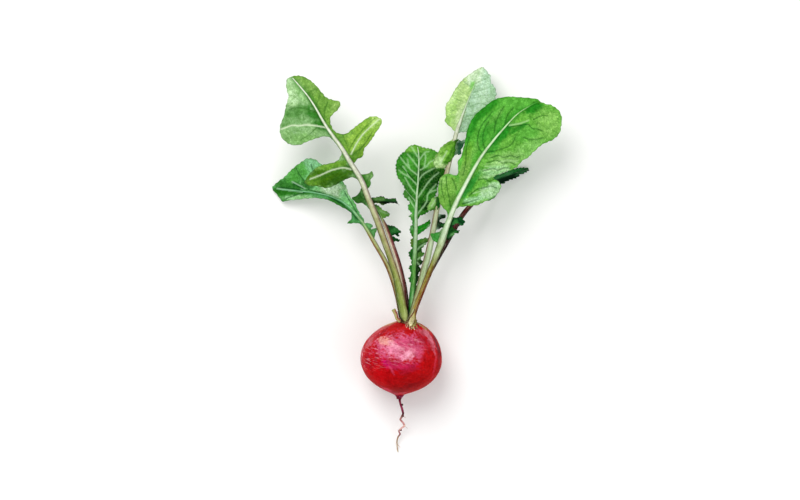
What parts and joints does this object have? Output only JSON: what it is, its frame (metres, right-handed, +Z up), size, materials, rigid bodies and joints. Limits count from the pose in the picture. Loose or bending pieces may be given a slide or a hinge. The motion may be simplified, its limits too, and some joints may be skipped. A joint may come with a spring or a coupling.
{
  "type": "radish with leaves",
  "caption": "Round red radish lying on a surface, with its thin taproot and a leafy top of lobed green leaves on long tapering stalks, for a kitchen scene or a market stall",
  "frame": {"origin": "on the surface, in the flat spot under the red globe", "axes": "+Z up from the surface, +Y from the root towards the leaves, +X to the right as seen from above"},
  "size_m": [0.1452, 0.1925, 0.0416],
  "materials": {
    "root": "smooth skin, satin with a soft gloss",
    "crown": "dry torn scales, matte",
    "old_stalk_stub": "dry cut end, matte",
    "leaf_tall_left_stalk": "fleshy ribbed stalk, satin",
    "leaf_tall_left_blade": "thin veined leaf, satin",
    "leaf_drooping_left_stalk": "fleshy ribbed stalk, satin",
    "leaf_drooping_left_blade": "thin veined leaf, satin",
    "leaf_slender_left_stalk": "fleshy ribbed stalk, satin",
    "leaf_slender_left_blade": "thin veined leaf, satin",
    "leaf_middle_stalk": "fleshy ribbed stalk, satin",
    "leaf_middle_blade": "thin veined leaf, satin",
    "leaf_broad_right_stalk": "fleshy ribbed stalk, satin",
    "leaf_broad_right_blade": "thin veined leaf, satin",
    "leaf_pale_right_stalk": "fleshy ribbed stalk, satin",
    "leaf_pale_right_blade": "thin veined leaf, satin",
    "leaf_dark_right_stalk": "fleshy ribbed stalk, satin",
    "leaf_dark_right_blade": "thin veined leaf, satin"
  },
  "bodies": {
    "root": {"root": "root", "crown": "crown", "old_stalk_stub": "old_stalk_stub", "leaf_tall_left_stalk": "leaf_tall_left_stalk", "leaf_tall_left_blade": "leaf_tall_left_blade", "leaf_drooping_left_stalk": "leaf_drooping_left_stalk", "leaf_drooping_left_blade": "leaf_drooping_left_blade", "leaf_slender_left_stalk": "leaf_slender_left_stalk", "leaf_slender_left_blade": "leaf_slender_left_blade", "leaf_middle_stalk": "leaf_middle_stalk", "leaf_middle_blade": "leaf_middle_blade", "leaf_broad_right_stalk": "leaf_broad_right_stalk", "leaf_broad_right_blade": "leaf_broad_right_blade", "leaf_pale_right_stalk": "leaf_pale_right_stalk", "leaf_pale_right_blade": "leaf_pale_right_blade", "leaf_dark_right_stalk": "leaf_dark_right_stalk", "leaf_dark_right_blade": "leaf_dark_right_blade"}
  },
  "joints": []
}
